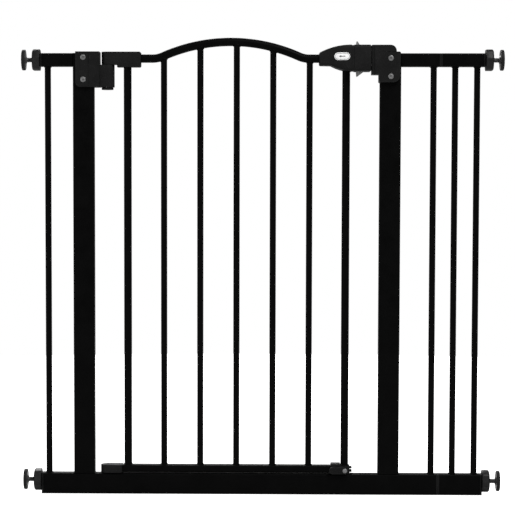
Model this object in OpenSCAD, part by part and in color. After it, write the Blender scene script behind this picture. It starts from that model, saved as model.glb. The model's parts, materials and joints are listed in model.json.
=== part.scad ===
/* [Overall] */
// Width over the four wall pads, as the gate stands
overall_w = 799; // [790:1:830]
// Height of the door's arch above the floor
overall_h = 762; // [740:1:800]
// Width over the ends of the rails
rail_span = 738; // [738:1:746]
// Height of the underside of the top rails
top_rail_z = 714; // [700:1:720]

/* [Frame tubes] */
// Width of a post, seen from the front
post_w = 35; // [30:1:36]
// Depth of the posts and rails
frame_d = 22; // [20:1:24]
// Height of the bottom rail
bottom_rail_h = 35; // [30:1:36]
// Height of a top rail
top_rail_h = 22; // [20:1:24]
// Wall thickness of the tubes
tube_wall = 1.5; // [1:0.1:2]
// Middle of the left post, along X
left_post_x = -296.9; // [-298:0.1:-295]
// Middle of the right post, along X
right_post_x = 212.2; // [211:0.1:214]
// Diameter of the round bars
bar_d = 10.4; // [9:0.1:12]
// Middle of the bar at the frame's left end
left_bar_x = -356.8; // [-358:0.1:-352]
// Middle of the bar at the frame's right end
right_bar_x = 283.9; // [280:0.1:286]

/* [Extension panel] */
// Where the extension meets the frame
joint_x = 295.2; // [295:0.1:298]
// Middle of the extension's inner bar
ext_inner_x = 319.5; // [316:0.1:322]
// Middle of the extension's outer bar
ext_outer_x = 355.9; // [352:0.1:358]

/* [Door] */
// Middle bar of the door, along X
door_x = -42.4; // [-43:0.1:-42]
// Distance between neighbouring uprights
bar_pitch = 60.5; // [60:0.1:61]
// Diameter of the two end uprights
stile_d = 13; // [12:0.5:14]
// Diameter of the top tube
tube_d = 14; // [12:0.5:16]
// Height of the top tube's centreline where it is straight
tube_z = 727.5; // [726:0.1:729]
// Underside of the door's bottom rail
door_rail_z = 36.8; // [36.5:0.1:38]
// Height of the door's bottom rail
door_rail_h = 12.2; // [12:0.1:14]
// Depth of the door's bottom rail
door_rail_d = 20; // [16:1:20]
// Vertical hinge axis, along X
hinge_x = -257.3; // [-258:0.1:-257]

/* [Arch] */
// Middle of the arch, along X
arch_x = -52.4; // [-56:0.1:-48]
// Half of the arch's width, between the ends of its bends
arch_half = 130; // [120:1:134]
// Radius of the bends where the arch meets the straight tube
arch_bend_r = 42; // [30:1:60]

/* [Latch] */
// Left end of the handle
handle_x0 = 93.7; // [93:0.1:95]
// Right end of the handle
handle_x1 = 179.7; // [178:0.1:180]
// Lowest level of the handle
handle_z0 = 706; // [705:0.5:706]
// Highest level of the handle
handle_z1 = 749.8; // [749:0.1:752]
// Half of the handle's depth
handle_half_d = 20; // [18:0.5:22]
// Wall of the moulded shells
shell_wall = 2.4; // [2:0.1:3]
// Travel of the release button and the bolt
release_travel = 8; // [6:0.5:8]
// Left face of the strike
strike_x0 = 180.9; // [180.7:0.1:182]
// Half of the strike's depth
strike_half_d = 17; // [14:0.5:18]

/* [Wall mounts] */
// Height of the upper pair's axes
upper_mount_z = 725; // [724:1:726]
// Height of the lower pair's axes
lower_mount_z = 23; // [20:1:24]
// Diameter of the threaded rod
rod_d = 8; // [8:1:10]
// Diameter of a wall pad
pad_d = 34.4; // [30:0.1:38]
// Thickness of a wall pad with its disc
pad_t = 5.8; // [5:0.1:7]
// Width over the flats of a hand nut
nut_af = 35; // [30:1:36]
// Thickness of a hand nut
nut_t = 12.5; // [10:0.5:14]

/* [Hidden] */
$fn = 64;

// Colours
STEEL_BLACK = [0.045, 0.045, 0.05];
PLASTIC_BLACK = [0.13, 0.13, 0.135];
BARE_STEEL = [0.45, 0.45, 0.46];
FIN_GREY = [0.5, 0.5, 0.51];
NYLON = [0.8, 0.79, 0.74];
WHITE = [0.92, 0.92, 0.92];
RUBBER_BLACK = [0.09, 0.09, 0.09];

// Clearances
GAP = 0.5;          // between moulded pieces that pass each other
RUN_FIT = 0.1;      // radial clearance of a shaft in its bore
CUT = 1;            // how far a cutting shape runs past a face

// Frame
tube_r = 3;                                   // outer corner radius of the frame tubes
rail_end = rail_span / 2;
top_rail_mid = top_rail_z + top_rail_h / 2;
post_top = top_rail_z + top_rail_h;
flange_t = 3;                                 // flange of a plug at the rail's outer end
collar_t = 2.5;                               // flange of a plug at the extension joint
plug_len = 20;                                // length of a plug inside its tube
plug_bore_d = rod_d + 2 * RUN_FIT;
pin_len = 34;                                 // extension dowel

// Door
latch_stile_x = door_x + 3 * bar_pitch;
hinge_stile_x = door_x - 3 * bar_pitch;
door_rail_top = door_rail_z + door_rail_h;
door_rail_x0 = hinge_stile_x - 9.8;           // where the rail leaves the hinge block
door_rail_x1 = latch_stile_x + stile_d / 2;
tube_x0 = hinge_x + 19.3;                     // the top tube's ends, inside the arm and the handle
tube_x1 = latch_stile_x + 1.7;

// Arch: a crown arc between two reverse bends, all tangent
arch_rise = overall_h - tube_d / 2 - tube_z;
arch_angle = 2 * atan(arch_rise / arch_half);
crown_r = arch_half / sin(arch_angle) - arch_bend_r;
crown_z = overall_h - tube_d / 2 - crown_r;   // the crown arc's centre
bend_steps = 6;
crown_steps = 20;
upright_cut_angle = arch_angle + 2;            // past the crown's end, to clear a whole upright

// Upper hinge
pin_d = 10;
arm_r = 9.9;                                  // half depth of the arm, and its round end
arm_x1 = -201.6;
arm_z0 = 713;
arm_z1 = 738.4;
arm_step_x = hinge_x + 16.5;                  // the arm is cut away underneath up to here
arm_step_z = 717.2;
arm_pin_top = 735;
bracket_x0 = -309.8;
bracket_neck_x = -269.9;                      // right side of the bracket's upper part
bracket_z0 = 679.9;
bracket_ledge_z = arm_step_z - GAP;           // top of the bracket's lower part
bracket_half_d = 15;
boss_r = 11.8;                                // the bracket's round right end
bush_r = 7;
bush_z0 = 700;
spring_room_r = 9.6;
spring_room_z0 = 683;
retainer_z0 = 675.7;
retainer_r = 9.75;

// Screws through the housings, and the ones that close the door's shells from the back
housing_levels_left = [692.3, 728.9];
housing_levels_right = [697.6, 727.6];
housing_screw_d = 4;
housing_head_d = 9;
housing_head_t = 1.6;
arm_screw = [-243.5, 721.5];
handle_screws = [[124, 741.2], [172, 710.6]];
shell_screw_d = 3;
shell_screw_len = 14;
shell_head_d = 6;
shell_head_t = 1.2;

// Lower hinge
block_r = 12.6;
block_z0 = bottom_rail_h + GAP;
block_z1 = 49.2;
lower_pin_top = 46;

// Handle outline: two large arcs flare from the tube to the full height
neck_z = 715.3;
flare_top = [146, 112.4];                     // X where the upper arc ends, and its radius
flare_low = [150, 79.5];                      // the same of the lower arc
flare_plan = [146, 148.7];                    // the same seen from above
groove_x = [147.7, 151.7];
groove_depth = 0.8;
handle_corner = 3.5;
badge_size = [25.9, 12.4];
badge_at = [131.6, 730.3];
badge_t = 0.6;

// Release button and bolt
fin_x = 155;
fin_tip_z = [697.8, 755.7];
fin_half_d = 7;
fin_low_x = 168;                              // where the lower fin's slope meets the handle
bolt_x0 = 161.5;                              // where the bolt joins the button
bolt_tip_x = 187.2;
bolt_half_d = 4;
tongue_z = [[714.8, 725.8], [732.4, 744]];
spring_z = 741;                               // the bolt spring's axis
spring_seat_x = 137;

// Strike
strike_x1 = 228.2;
strike_z = [687.9, 749.4];
strike_cup_x = 193;                           // right side of the cup's low end
strike_cup_z = 700.9;
strike_step = [221.5, 738.3];                 // the corner cut out of its top right
cup_wall = 2.4;
cup_half_d = 9;

// Stop lever
stop_x = 139.7;                               // rivet
stop_z = 41.4;
stop_r = 5.95;
stop_reach = 20.4;                            // from the rivet to the middle of the lever's far end
lever_y = [-17.2, -11.6];
rivet_d = 4;
rivet_head_d = 8;
cheek_y = -11.2;
saddle_x = [116, 132.2];
saddle_t = 3;
end_cap_t = 2;
fork_x = 151.6;
fork_half_d = 6;
fork_z = [[38, 41.5], [44, 47]];

// Wall mounts
pad_face_x = overall_w / 2;
disc_r = 15;
disc_t = 3;
rod_in = 66;                                  // from the disc to the rod's inner end
nut_x = rail_end + GAP;
nut_corner_r = 18.5;
upper_turn = 30;                              // how the upper and the lower nuts happen to stand
lower_turn = 18;

// Points along an arc, in degrees
function arc(cx, cy, r, a0, a1, n = 12) =
    [for (i = [0:n]) let (a = a0 + (a1 - a0) * i / n) [cx + r * cos(a), cy + r * sin(a)]];

// A solid from an outline drawn in X and Z
module front_slab(y0, y1) {
    translate([0, y1, 0])
        rotate([90, 0, 0])
            linear_extrude(y1 - y0)
                children();
}

module block_between(low, high) {
    translate(low)
        cube(high - low);
}

module rounded_rect(w, d, r) {
    square([w, d - 2 * r], center = true);
    square([w - 2 * r, d], center = true);
    for (x = [-1, 1], y = [-1, 1])
        translate([x * (w / 2 - r), y * (d / 2 - r)])
            circle(r);
}

// Rectangular tube section, w by d
module tube_section(w, d) {
    difference() {
        rounded_rect(w, d, tube_r);
        rounded_rect(w - 2 * tube_wall, d - 2 * tube_wall, tube_r - tube_wall);
    }
}

// A tube along X, its section h high
module rail(x0, x1, z0, h, d) {
    translate([x0, 0, z0 + h / 2])
        rotate([0, 90, 0])
            linear_extrude(x1 - x0)
                tube_section(h, d);
}

module post(x) {
    translate([x, 0, bottom_rail_h])
        linear_extrude(post_top - bottom_rail_h)
            tube_section(post_w, frame_d);
}

module bar(x, z0, z1, d) {
    translate([x, 0, z0])
        difference() {
            cylinder(h = z1 - z0, d = d);
            translate([0, 0, -CUT])
                cylinder(h = z1 - z0 + 2 * CUT, d = d - 2 * tube_wall);
        }
}

// A plug in the end of a rail: its flange starts at x and its body runs inwards, towards side
module end_plug(x, side, mid_z, h, flange, bore_z) {
    difference() {
        union() {
            translate([x, 0, mid_z])
                rotate([0, side * 90, 0])
                    linear_extrude(flange)
                        rounded_rect(h, frame_d, tube_r);
            translate([x + side * flange, 0, mid_z])
                rotate([0, side * 90, 0])
                    linear_extrude(plug_len)
                        rounded_rect(h - 2 * tube_wall, frame_d - 2 * tube_wall, tube_r - tube_wall);
        }
        translate([x - side * CUT, 0, bore_z])
            rotate([0, side * 90, 0])
                cylinder(h = flange + plug_len + 2 * CUT, d = plug_bore_d);
    }
}

// A top and a bottom plug
module plug_pair(x, side, flange) {
    end_plug(x, side, top_rail_mid, top_rail_h, flange, upper_mount_z);
    end_plug(x, side, bottom_rail_h / 2, bottom_rail_h, flange, lower_mount_z);
}

// A coil of round wire about Z, as a swept tube
module coil(r, wire_r, length, turns) {
    sides = 6;
    per_turn = 14;
    rings = turns * per_turn;
    points = [
        for (i = [0:rings], k = [0:sides - 1])
            let (a = 360 * i / per_turn, b = 360 * k / sides, q = r + wire_r * cos(b))
                [q * cos(a), q * sin(a), wire_r * sin(b) + length * i / rings]
    ];
    walls = [
        for (i = [0:rings - 1], k = [0:sides - 1])
            let (m = (k + 1) % sides, p = i * sides, n = p + sides)
                each [[p + k, n + k, n + m], [p + k, n + m, p + m]]
    ];
    first_end = [for (k = [0:sides - 1]) k];
    last_end = [for (k = [sides - 1:-1:0]) rings * sides + k];
    polyhedron(points, concat(walls, [first_end, last_end]), convexity = 10);
}

// Screw along Y: its head stands out at y, towards the front (-1) or the back (1)
module screw(x, y, z, side, head_d, head_t, shank_d, length) {
    translate([x, y, z])
        rotate([side * -90, 0, 0]) {
            cylinder(h = head_t, d = head_d);
            translate([0, 0, -length])
                cylinder(h = length, d = shank_d);
        }
}

// ---------- Frame ----------

module bottom_rail() {
    color(STEEL_BLACK)
        rail(-rail_end + flange_t, joint_x - collar_t, 0, bottom_rail_h, frame_d);
}

module left_post() {
    color(STEEL_BLACK)
        post(left_post_x);
}

module right_post() {
    color(STEEL_BLACK)
        post(right_post_x);
}

module left_top_rail() {
    color(STEEL_BLACK)
        rail(-rail_end + flange_t, left_post_x - post_w / 2, top_rail_z, top_rail_h, frame_d);
}

module right_top_rail() {
    color(STEEL_BLACK)
        rail(right_post_x + post_w / 2, joint_x - collar_t, top_rail_z, top_rail_h, frame_d);
}

module left_outer_bar() {
    color(STEEL_BLACK)
        bar(left_bar_x, bottom_rail_h, top_rail_z, bar_d);
}

module right_outer_bar() {
    color(STEEL_BLACK)
        bar(right_bar_x, bottom_rail_h, top_rail_z, bar_d);
}

module frame_end_plugs() {
    color(PLASTIC_BLACK) {
        plug_pair(-rail_end, 1, flange_t);
        plug_pair(joint_x, -1, collar_t);
    }
}

// ---------- Extension ----------

module extension_top_rail() {
    color(STEEL_BLACK)
        rail(joint_x + collar_t, rail_end - flange_t, top_rail_z, top_rail_h, frame_d);
}

module extension_bottom_rail() {
    color(STEEL_BLACK)
        rail(joint_x + collar_t, rail_end - flange_t, 0, bottom_rail_h, frame_d);
}

module extension_inner_bar() {
    color(STEEL_BLACK)
        bar(ext_inner_x, bottom_rail_h, top_rail_z, bar_d);
}

module extension_outer_bar() {
    color(STEEL_BLACK)
        bar(ext_outer_x, bottom_rail_h, top_rail_z, bar_d);
}

module extension_end_plugs() {
    color(PLASTIC_BLACK) {
        plug_pair(joint_x, 1, collar_t);
        plug_pair(rail_end, -1, flange_t);
    }
}

module extension_pins() {
    color(BARE_STEEL)
        for (z = [lower_mount_z, upper_mount_z])
            translate([joint_x - pin_len / 2, 0, z])
                rotate([0, 90, 0])
                    cylinder(h = pin_len, d = rod_d);
}

// ---------- Hinge on the left post ----------

module bracket_outline() {
    corner = 8;
    polygon(concat(
        arc(bracket_x0 + corner, bracket_z0 + corner, corner, 180, 270),
        [
            [hinge_x + boss_r, bracket_z0],
            [hinge_x + boss_r, bracket_ledge_z],
            [bracket_neck_x, bracket_ledge_z],
            [bracket_neck_x, arm_z1],
            [bracket_x0, arm_z1]
        ]
    ));
}

// The bracket seen from above, from y0 to y1
module bracket_body(y0, y1) {
    intersection() {
        front_slab(y0, y1)
            bracket_outline();
        translate([0, 0, bracket_z0 - CUT])
            linear_extrude(arm_z1 - bracket_z0 + 2 * CUT) {
                translate([bracket_x0, -bracket_half_d])
                    square([bracket_neck_x - bracket_x0, 2 * bracket_half_d]);
                translate([bracket_neck_x, -boss_r])
                    square([hinge_x - bracket_neck_x, 2 * boss_r]);
                translate([hinge_x, 0])
                    circle(boss_r);
            }
    }
}

module bracket_hollows() {
    block_between(
        [left_post_x - post_w / 2, -frame_d / 2, bracket_z0 - CUT],
        [left_post_x + post_w / 2, frame_d / 2, post_top]
    );
    translate([hinge_x, 0, bracket_z0 - CUT])
        cylinder(h = arm_z1 - bracket_z0, d = pin_d + 4 * GAP);
    translate([hinge_x, 0, bush_z0])
        cylinder(h = arm_z1 - bush_z0, r = bush_r);
    translate([hinge_x, 0, spring_room_z0])
        cylinder(h = bush_z0 - spring_room_z0, r = spring_room_r);
    for (z = housing_levels_left)
        front_slab(-bracket_half_d - CUT, bracket_half_d + CUT)
            translate([left_post_x, z])
                circle(d = housing_screw_d);
}

module hinge_bracket_front() {
    color(PLASTIC_BLACK)
        difference() {
            bracket_body(-bracket_half_d, 0);
            bracket_hollows();
        }
}

module hinge_bracket_rear() {
    color(PLASTIC_BLACK)
        difference() {
            bracket_body(0, bracket_half_d);
            bracket_hollows();
        }
}

module upper_hinge_bush() {
    color(NYLON)
        translate([hinge_x, 0, bush_z0])
            difference() {
                cylinder(h = bracket_ledge_z - bush_z0, r = bush_r);
                translate([0, 0, -CUT])
                    cylinder(h = bracket_ledge_z - bush_z0 + 2 * CUT, d = pin_d + 2 * RUN_FIT);
            }
}

module closing_spring() {
    color(BARE_STEEL)
        translate([hinge_x, 0, spring_room_z0 + 1.5])
            coil(7.6, 0.9, bush_z0 - spring_room_z0 - 3, 5);
}

module lower_hinge_pin() {
    tip = 1.5;
    color(BARE_STEEL)
        translate([hinge_x, 0, bottom_rail_h]) {
            cylinder(h = lower_pin_top - bottom_rail_h - tip, d = pin_d);
            translate([0, 0, lower_pin_top - bottom_rail_h - tip])
                cylinder(h = tip, d1 = pin_d, d2 = pin_d - 2 * tip);
        }
}

// ---------- Strike on the right post ----------

module strike_outline() {
    crown = 10;
    heel = 12;
    toe = 2;
    polygon(concat(
        [[strike_x0, strike_z[1]]],
        arc(strike_step[0] - crown, strike_z[1] - crown, crown, 90, 0),
        [strike_step],
        arc(strike_x1 - toe, strike_step[1] - toe, toe, 90, 0, 6),
        arc(strike_x1 - heel, strike_z[0] + heel, heel, 0, -90),
        arc(strike_cup_x + toe, strike_z[0] + toe, toe, 270, 180, 6),
        [
            [strike_cup_x, strike_cup_z],
            [strike_x0, strike_cup_z]
        ]
    ));
}

module strike_hollows() {
    block_between(
        [right_post_x - post_w / 2, -frame_d / 2, strike_z[0] - CUT],
        [right_post_x + post_w / 2, frame_d / 2, post_top]
    );
    block_between(
        [strike_x0 + cup_wall, -cup_half_d, strike_cup_z + 2 * cup_wall],
        [right_post_x - post_w / 2 + CUT, cup_half_d, strike_z[1] - cup_wall]
    );
    for (t = tongue_z)
        block_between(
            [strike_x0 - CUT, -bolt_half_d - GAP, t[0] - GAP],
            [strike_x0 + cup_wall + CUT, bolt_half_d + GAP, t[1] + GAP]
        );
    for (z = housing_levels_right)
        front_slab(-strike_half_d - CUT, strike_half_d + CUT)
            translate([right_post_x, z])
                circle(d = housing_screw_d);
}

module strike_front() {
    color(PLASTIC_BLACK)
        difference() {
            front_slab(-strike_half_d, 0)
                strike_outline();
            strike_hollows();
        }
}

module strike_rear() {
    color(PLASTIC_BLACK)
        difference() {
            front_slab(0, strike_half_d)
                strike_outline();
            strike_hollows();
        }
}

module housing_screws() {
    color(BARE_STEEL) {
        for (z = housing_levels_left)
            screw(left_post_x, -bracket_half_d, z, -1, housing_head_d, housing_head_t, housing_screw_d,
                bracket_half_d - frame_d / 2);
        for (z = housing_levels_right)
            screw(right_post_x, -strike_half_d, z, -1, housing_head_d, housing_head_t, housing_screw_d,
                strike_half_d - frame_d / 2);
    }
}

// ---------- Door ----------

// Stations along the top tube's centreline: X, Z and slope
TUBE_PATH = concat(
    [[tube_x0, tube_z, 0]],
    [for (i = [0:bend_steps]) bend_station(-1, arch_angle * i / bend_steps)],
    [for (i = [1:crown_steps - 1]) crown_station(arch_angle * (1 - 2 * i / crown_steps))],
    [for (i = [bend_steps:-1:0]) bend_station(1, -arch_angle * i / bend_steps)],
    [[tube_x1, tube_z, 0]]
);

function bend_station(side, a) =
    [arch_x + side * arch_half + arch_bend_r * sin(a), tube_z + arch_bend_r * (1 - cos(a)), a];

function crown_station(a) = [arch_x - crown_r * sin(a), crown_z + crown_r * cos(a), a];

// The top tube: an outer and an inner skin swept along the stations, closed by a ring at each end
module door_top_tube() {
    sides = 24;
    rings = len(TUBE_PATH);
    radii = [tube_d / 2, tube_d / 2 - tube_wall];
    points = [
        for (r = radii, s = TUBE_PATH, k = [0:sides - 1])
            let (up = r * cos(360 * k / sides))
                [s[0] - up * sin(s[2]), r * sin(360 * k / sides), s[1] + up * cos(s[2])]
    ];
    inner = rings * sides;
    last = (rings - 1) * sides;
    skins = [
        for (i = [0:rings - 2], k = [0:sides - 1])
            let (m = (k + 1) % sides, p = i * sides, n = p + sides)
                each [
                    [p + k, n + k, n + m],
                    [p + k, n + m, p + m],
                    [inner + p + k, inner + n + m, inner + n + k],
                    [inner + p + k, inner + p + m, inner + n + m]
                ]
    ];
    ends = [
        for (k = [0:sides - 1])
            let (m = (k + 1) % sides)
                each [
                    [k, m, inner + m],
                    [k, inner + m, inner + k],
                    [last + k, inner + last + m, last + m],
                    [last + k, inner + last + k, inner + last + m]
                ]
    ];
    color(STEEL_BLACK)
        polyhedron(points, concat(skins, ends), convexity = 6);
}

// Height of the top tube's centreline over an upright
function tube_over(x) =
    under_crown(x) ? crown_z + sqrt(pow(crown_r, 2) - pow(x - arch_x, 2)) : tube_z;

function under_crown(x) = abs(x - arch_x) < crown_r * sin(arch_angle);

// An upright from the door's bottom rail to the top tube, its end cut to the tube's round
module door_upright(x, d) {
    color(STEEL_BLACK)
        difference() {
            bar(x, door_rail_top, tube_over(x), d);
            if (under_crown(x))
                translate([arch_x, 0, crown_z])
                    rotate([90, 0, 0])
                        rotate([0, 0, 90 - upright_cut_angle])
                            rotate_extrude(angle = 2 * upright_cut_angle)
                                translate([crown_r, 0])
                                    circle(d = tube_d);
            else
                translate([x - d, 0, tube_z])
                    rotate([0, 90, 0])
                        cylinder(h = 2 * d, d = tube_d);
        }
}

module door_hinge_stile() {
    door_upright(hinge_stile_x, stile_d);
}

module door_latch_stile() {
    door_upright(latch_stile_x, stile_d);
}

module door_bar_1() {
    door_upright(door_x - 2 * bar_pitch, bar_d);
}

module door_bar_2() {
    door_upright(door_x - bar_pitch, bar_d);
}

module door_bar_3() {
    door_upright(door_x, bar_d);
}

module door_bar_4() {
    door_upright(door_x + bar_pitch, bar_d);
}

module door_bar_5() {
    door_upright(door_x + 2 * bar_pitch, bar_d);
}

module door_bottom_rail() {
    color(STEEL_BLACK)
        difference() {
            rail(door_rail_x0, door_rail_x1, door_rail_z, door_rail_h, door_rail_d);
            front_slab(-door_rail_d, door_rail_d)
                translate([stop_x, stop_z])
                    circle(d = rivet_d);
        }
}

// ---------- Hinge arm on the door ----------

module arm_outline() {
    corner = 2.5;
    polygon(concat(
        [
            [hinge_x - arm_r, arm_step_z],
            [arm_step_x, arm_step_z],
            [arm_step_x, arm_z0]
        ],
        arc(arm_x1 - corner, arm_z0 + corner, corner, -90, 0, 6),
        arc(arm_x1 - corner, arm_z1 - corner, corner, 0, 90, 6),
        [[hinge_x - arm_r, arm_z1]]
    ));
}

module arm_body(y0, y1) {
    intersection() {
        front_slab(y0, y1)
            arm_outline();
        translate([0, 0, arm_z0 - CUT])
            linear_extrude(arm_z1 - arm_z0 + 2 * CUT) {
                translate([hinge_x, 0])
                    circle(arm_r);
                translate([hinge_x, -arm_r])
                    square([arm_x1 - hinge_x, 2 * arm_r]);
            }
    }
}

module arm_hollows() {
    translate([tube_x0, 0, tube_z])
        rotate([0, 90, 0])
            cylinder(h = arm_x1 - tube_x0 + CUT, d = tube_d);
    translate([hinge_stile_x, 0, arm_z0 - CUT])
        cylinder(h = tube_z - arm_z0, d = stile_d);
    translate([hinge_x, 0, arm_z0])
        cylinder(h = arm_pin_top - arm_z0, d = pin_d);
    screw_hole(arm_screw, arm_r);
}

// Hole for a shell screw, from the middle of the door to the back face
module screw_hole(at, back) {
    front_slab(-shell_screw_len + back - shell_head_t, back + CUT)
        translate(at)
            circle(d = shell_screw_d);
    front_slab(back - shell_head_t, back + CUT)
        translate(at)
            circle(d = shell_head_d);
}

module hinge_arm_front() {
    color(PLASTIC_BLACK)
        difference() {
            arm_body(-arm_r, 0);
            arm_hollows();
        }
}

module hinge_arm_rear() {
    color(PLASTIC_BLACK)
        difference() {
            arm_body(0, arm_r);
            arm_hollows();
        }
}

module upper_hinge_pin() {
    color(BARE_STEEL)
        translate([hinge_x, 0, retainer_z0 + 1.5])
            cylinder(h = arm_pin_top - retainer_z0 - 1.5, d = pin_d);
}

module pin_retainer() {
    color(PLASTIC_BLACK)
        translate([hinge_x, 0, retainer_z0])
            difference() {
                cylinder(h = bracket_z0 - retainer_z0 - GAP, r = retainer_r);
                translate([0, 0, 1.5])
                    cylinder(h = bracket_z0 - retainer_z0, d = pin_d);
            }
}

// ---------- Lower hinge on the door ----------

module lower_hinge_block() {
    color(PLASTIC_BLACK)
        translate([0, 0, block_z0])
            difference() {
                linear_extrude(block_z1 - block_z0) {
                    translate([hinge_x, 0])
                        circle(block_r);
                    translate([hinge_x, -block_r])
                        square([door_rail_x0 - hinge_x, 2 * block_r]);
                }
                translate([hinge_x, 0, -CUT])
                    cylinder(h = lower_pin_top - block_z0 + 2 * CUT, r = bush_r);
            }
}

module lower_hinge_bush() {
    color(NYLON)
        translate([hinge_x, 0, block_z0 + GAP])
            difference() {
                cylinder(h = lower_pin_top - block_z0 + CUT - GAP, r = bush_r);
                translate([0, 0, -CUT])
                    cylinder(h = lower_pin_top - block_z0 + 2 * CUT, d = pin_d + 2 * RUN_FIT);
            }
}

// ---------- Handle ----------

// Front view of the handle, drawn in by inset all round
module handle_outline(inset) {
    x0 = handle_x0 + inset;
    x1 = handle_x1 - inset;
    zt = handle_z1 - inset;
    zb = handle_z0 + inset;
    rt = flare_top[1] - inset;
    rb = flare_low[1] - inset;
    ct = handle_z1 - flare_top[1];
    cb = handle_z0 + flare_low[1];
    neck = neck_z + inset;
    start_t = acos((x0 - flare_top[0]) / rt);
    start_b = asin((neck - cb) / rb);
    corner = handle_corner - inset / 2;
    polygon(concat(
        arc(flare_top[0], ct, rt, start_t, 90, 16),
        arc(x1 - corner, zt - corner, corner, 90, 0, 8),
        arc(x1 - corner, zb + corner, corner, 0, -90, 8),
        arc(flare_low[0], cb, rb, -90, -180 - start_b, 12),
        [[x0, neck]]
    ));
}

// The handle seen from above
module handle_plan(inset) {
    x0 = handle_x0 + inset;
    r = flare_plan[1] - inset;
    half = handle_half_d - inset;
    mid = half - r;
    start = acos((x0 - flare_plan[0]) / r);
    side = concat(
        arc(flare_plan[0], mid, r, start, 90, 12),
        [[handle_x1 - inset, half]]
    );
    polygon(concat(side, [for (i = [len(side) - 1:-1:0]) [side[i][0], -side[i][1]]]));
}

module handle_solid(inset) {
    intersection() {
        front_slab(-handle_half_d - CUT, handle_half_d + CUT)
            handle_outline(inset);
        translate([0, 0, handle_z0 - CUT])
            linear_extrude(handle_z1 - handle_z0 + 2 * CUT)
                handle_plan(inset);
    }
}

// What is taken out of both shells
module handle_hollows() {
    difference() {
        handle_solid(shell_wall);
        for (at = handle_screws)
            front_slab(-handle_half_d, handle_half_d)
                translate(at)
                    circle(d = shell_screw_d + 2 * shell_wall);
        block_between(
            [spring_seat_x - shell_wall, -handle_half_d, tube_z + tube_d / 2 + GAP],
            [spring_seat_x, handle_half_d, handle_z1]
        );
    }
    translate([handle_x0 - CUT, 0, tube_z])
        rotate([0, 90, 0])
            cylinder(h = shell_wall + 2 * CUT, d = tube_d);
    translate([latch_stile_x, 0, handle_z0 - CUT])
        cylinder(h = tube_z - handle_z0, d = stile_d);
    for (t = tongue_z)
        block_between(
            [handle_x1 - shell_wall - CUT, -bolt_half_d - GAP, t[0] - GAP],
            [handle_x1 + CUT, bolt_half_d + GAP, t[1] + GAP]
        );
    block_between(
        [fin_x - release_travel - GAP, -fin_half_d - GAP, handle_z1 - shell_wall - CUT],
        [bolt_x0 + GAP, fin_half_d + GAP, handle_z1 + CUT]
    );
    block_between(
        [fin_x - release_travel - GAP, -fin_half_d - GAP, handle_z0 - CUT],
        [fin_low_x + GAP, fin_half_d + GAP, handle_z0 + shell_wall + CUT]
    );
    difference() {
        block_between(
            [groove_x[0], -handle_half_d - CUT, handle_z0 - CUT],
            [groove_x[1], handle_half_d + CUT, handle_z1 + CUT]
        );
        handle_solid(groove_depth);
    }
    for (at = handle_screws)
        screw_hole(at, handle_back(at[0]));
}

// Where the handle's back face lies at x
function handle_back(x) =
    x >= flare_plan[0] ? handle_half_d
    : handle_half_d - flare_plan[1] + sqrt(pow(flare_plan[1], 2) - pow(x - flare_plan[0], 2));

module handle_half(y0, y1) {
    color(PLASTIC_BLACK)
        difference() {
            intersection() {
                handle_solid(0);
                block_between([handle_x0 - CUT, y0, handle_z0 - CUT], [handle_x1 + CUT, y1, handle_z1 + CUT]);
            }
            handle_hollows();
        }
}

module handle_front() {
    handle_half(-handle_half_d - CUT, 0);
}

module handle_rear() {
    handle_half(0, handle_half_d + CUT);
}

module door_shell_screws() {
    color(BARE_STEEL) {
        for (at = handle_screws)
            screw(at[0], handle_back(at[0]) - shell_head_t, at[1], 1, shell_head_d, shell_head_t - 0.2,
                shell_screw_d, shell_screw_len);
        screw(arm_screw[0], arm_r - shell_head_t, arm_screw[1], 1, shell_head_d, shell_head_t - 0.2,
            shell_screw_d, shell_screw_len);
    }
}

// A long oval plate that follows the front of the handle
module badge() {
    span = badge_size[0] - badge_size[1];
    color(WHITE)
        difference() {
            intersection() {
                translate([0, -badge_t, 0])
                    handle_solid(0);
                front_slab(-handle_half_d - CUT, -handle_half_d / 2)
                    translate(badge_at) {
                        square([span, badge_size[1]], center = true);
                        for (x = [-span / 2, span / 2])
                            translate([x, 0])
                                circle(d = badge_size[1]);
                    }
            }
            handle_solid(0);
        }
}

module bolt_spring() {
    color(BARE_STEEL)
        translate([spring_seat_x + GAP, 0, spring_z])
            rotate([0, 90, 0])
                coil(3, 0.5, fin_x - spring_seat_x - 2 * GAP, 6);
}

// ---------- Release slide ----------

module release_button() {
    tip_w = 1.5;
    tip_x = fin_x + 0.8;
    color(FIN_GREY)
        front_slab(-fin_half_d, fin_half_d)
            polygon([
                [fin_x, handle_z0],
                [tip_x, fin_tip_z[0]],
                [tip_x + tip_w, fin_tip_z[0]],
                [fin_low_x, handle_z0],
                [fin_low_x, handle_z0 + shell_wall],
                [bolt_x0, tongue_z[0][0]],
                [bolt_x0, handle_z1 - GAP],
                [tip_x + tip_w, fin_tip_z[1]],
                [tip_x, fin_tip_z[1]],
                [fin_x, handle_z1]
            ]);
}

// Two flat tongues, bevelled towards the front and the back so that they ride over the strike
module latch_bolt() {
    bevel = 3.7;
    nose = 1;
    web = 4;
    color(BARE_STEEL) {
        for (t = tongue_z)
            translate([0, 0, t[0]])
                linear_extrude(t[1] - t[0])
                    polygon([
                        [bolt_x0, -bolt_half_d],
                        [bolt_tip_x - bevel, -bolt_half_d],
                        [bolt_tip_x, -nose],
                        [bolt_tip_x, nose],
                        [bolt_tip_x - bevel, bolt_half_d],
                        [bolt_x0, bolt_half_d]
                    ]);
        block_between(
            [bolt_x0, -bolt_half_d, tongue_z[0][0]],
            [bolt_x0 + web, bolt_half_d, tongue_z[1][1]]
        );
    }
}

// ---------- One-way stop ----------

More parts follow.
